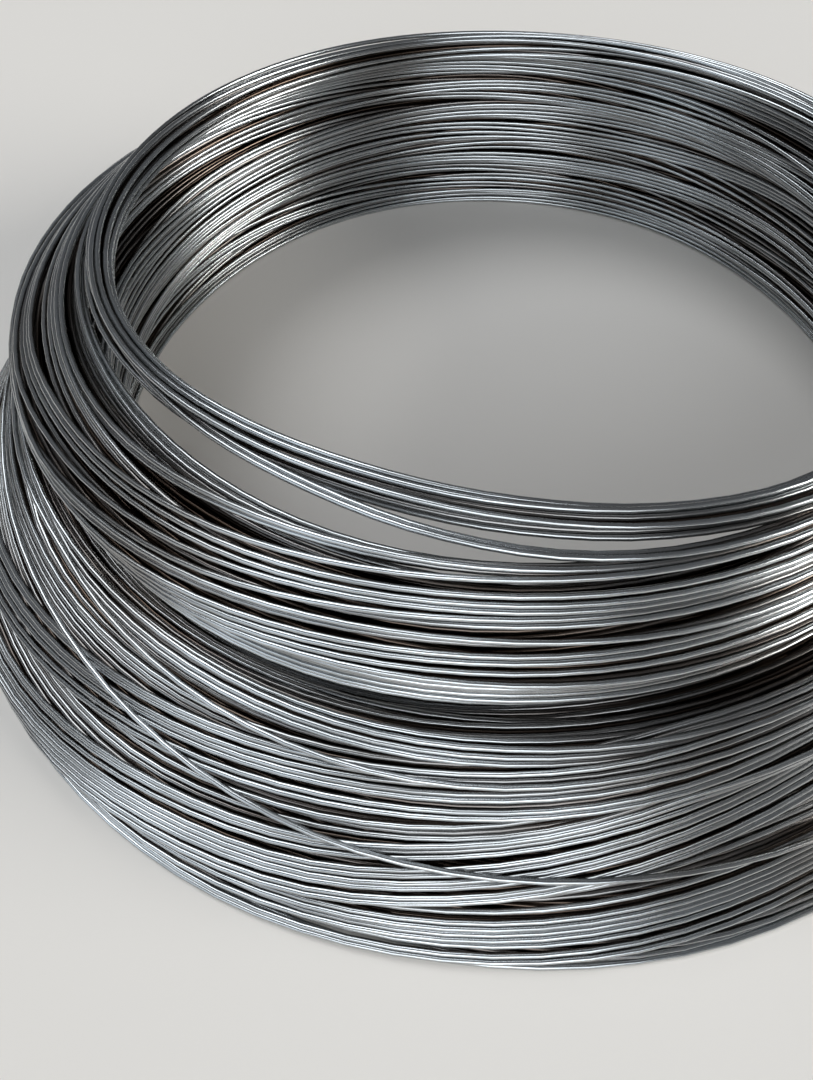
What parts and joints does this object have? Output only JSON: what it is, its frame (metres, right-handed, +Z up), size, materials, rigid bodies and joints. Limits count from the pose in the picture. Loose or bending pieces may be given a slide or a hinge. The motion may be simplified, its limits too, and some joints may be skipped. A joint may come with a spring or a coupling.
{
  "type": "coil of galvanized tie wire",
  "caption": "Loose conical coil of thin galvanized steel wire, lying on its wide end, with a narrow crown of turns and an open eye.",
  "frame": {"origin": "centre of the wide end, on the floor that the coil rests on", "axes": "+Z up along the axis of the coil, from the wide end to the crown; -Y is the side nearest to the viewer of the picture, +X to the right"},
  "size_m": [0.42, 0.42, 0.0999],
  "materials": {
    "galvanized_wire": "zinc coated, satin grey with bright streaks along the turns"
  },
  "bodies": {
    "root": {"wire_coil": "galvanized_wire"}
  },
  "joints": []
}
